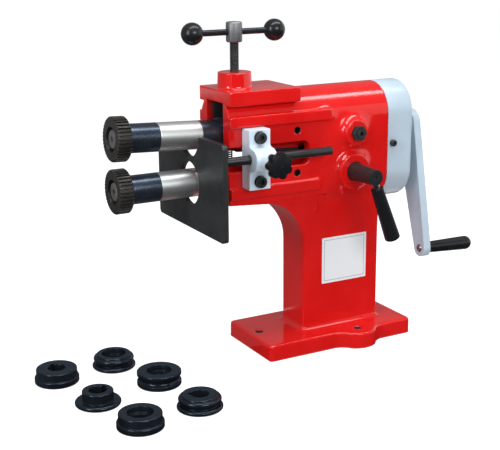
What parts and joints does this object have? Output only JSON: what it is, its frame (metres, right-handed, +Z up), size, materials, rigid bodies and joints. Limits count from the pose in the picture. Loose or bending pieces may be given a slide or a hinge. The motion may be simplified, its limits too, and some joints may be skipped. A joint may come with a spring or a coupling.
{
  "type": "hand beading machine",
  "caption": "Bench beading machine: cast stand with geared roller shafts, press screw, crank, adjusting lever, sliding fence and spare forming rollers.",
  "frame": {"origin": "on the bench under the middle of the base plate", "axes": "+Z up, +X from the rollers towards the crank, -Y towards the fence's guide rod and the lever"},
  "size_m": [0.5601, 0.243, 0.3947],
  "materials": {
    "red_paint": "gloss enamel on a rounded casting",
    "grey_paint": "smooth light grey enamel",
    "black_oxide": "satin black oxide",
    "ground_steel": "ground bright",
    "bronze": "turned",
    "gloss_black": "gloss",
    "matte_black": "satin"
  },
  "bodies": {
    "frame": {"frame_casting": "red_paint", "gear_cover": "grey_paint", "cover_screws": "black_oxide", "guide_bracket": "grey_paint", "bracket_screws": "black_oxide", "pivot_screws": "black_oxide", "pivot_locknuts": "black_oxide", "return_spring": "ground_steel", "spare_step_roller_keyed": "black_oxide", "spare_step_roller_open": "black_oxide", "spare_bead_roller_open": "black_oxide", "spare_bead_roller_keyed": "black_oxide", "spare_groove_roller": "black_oxide", "spare_flange_roller": "black_oxide"},
    "arm": {"bearing_arm": "red_paint", "arm_front_bush": "bronze", "arm_rear_bush": "bronze"},
    "upper_spindle": {"upper_shaft": "black_oxide", "upper_spacer_collar": "black_oxide", "upper_ground_sleeve": "ground_steel", "upper_roller": "black_oxide", "upper_roller_washer": "black_oxide", "upper_roller_screw": "black_oxide", "upper_keys": "ground_steel", "upper_gear": "ground_steel", "upper_gear_ring": "ground_steel", "crank_arm": "grey_paint", "crank_washer": "black_oxide", "crank_screw": "black_oxide", "grip_pin": "ground_steel"},
    "grip": {"crank_grip": "gloss_black"},
    "shoe": {"press_shoe": "ground_steel"},
    "screw": {"press_screw": "black_oxide", "screw_hub": "black_oxide", "tommy_bar": "black_oxide", "ball_knobs": "gloss_black"},
    "quill": {"lower_quill": "ground_steel", "quill_front_bush": "bronze", "quill_rear_bush": "bronze"},
    "lower_spindle": {"lower_shaft": "black_oxide", "lower_spacer_collar": "black_oxide", "lower_ground_sleeve": "ground_steel", "lower_roller": "black_oxide", "lower_roller_washer": "black_oxide", "lower_roller_screw": "black_oxide", "lower_keys": "ground_steel", "lower_gear": "ground_steel", "lower_gear_ring": "ground_steel"},
    "lever": {"eccentric_shaft": "black_oxide", "lever_rod": "ground_steel", "lever_grip": "matte_black"},
    "fence": {"fence_plate": "black_oxide", "guide_rod": "black_oxide"},
    "knob": {"clamp_knob": "matte_black", "clamp_stud": "black_oxide"}
  },
  "joints": [
    {"name": "arm_tilt", "type": "hinge", "parent": "frame", "child": "arm", "pos_m": [0.02, 0, 0.262], "axis": [0, 1, 0], "range_deg": [-1.6, 0.35], "deforming": ["return_spring"]},
    {"name": "crank_spin", "type": "hinge", "parent": "arm", "child": "upper_spindle", "pos_m": [0.02, 0, 0.262], "axis": [0.9991, 0, -0.0432], "continuous": true},
    {"name": "grip_spin", "type": "hinge", "parent": "upper_spindle", "child": "grip", "pos_m": [0.16335, -0.04605, 0.10504], "axis": [0.9991, 0, -0.0432], "continuous": true},
    {"name": "press_slide", "type": "slide", "parent": "frame", "child": "shoe", "axis": [0, 0, 1], "range_m": [-0.00375, 0.00075]},
    {"name": "press_turn", "type": "hinge", "parent": "shoe", "child": "screw", "pos_m": [-0.1175, 0, 0.3], "axis": [0, 0, 1], "range_deg": [-901, 181]},
    {"name": "quill_slide", "type": "slide", "parent": "frame", "child": "quill", "axis": [1, 0, 0], "range_m": [-0.0018, 0.0018]},
    {"name": "lower_spin", "type": "hinge", "parent": "quill", "child": "lower_spindle", "pos_m": [0, 0, 0.216], "axis": [1, 0, 0], "continuous": true},
    {"name": "lever_turn", "type": "hinge", "parent": "frame", "child": "lever", "pos_m": [0.0185, 0, 0.216], "axis": [0, 1, 0], "range_deg": [-34.5, 34.5]},
    {"name": "fence_slide", "type": "slide", "parent": "frame", "child": "fence", "axis": [1, 0, 0], "range_m": [-0.07, 0.024]},
    {"name": "knob_turn", "type": "hinge", "parent": "frame", "child": "knob", "pos_m": [-0.1142, -0.09, 0.246], "axis": [0, 1, 0], "range_deg": [0, 180]}
  ],
  "couplings": [
    {"joint": "lower_spin", "follows": "crank_spin", "ratio": -1},
    {"joint": "press_turn", "follows": "press_slide", "rad_per_m": 4188.8},
    {"joint": "arm_tilt", "follows": "press_slide", "rad_per_m": 7.2727},
    {"joint": "lever_turn", "follows": "quill_slide", "rad_per_m": 333.33}
  ]
}
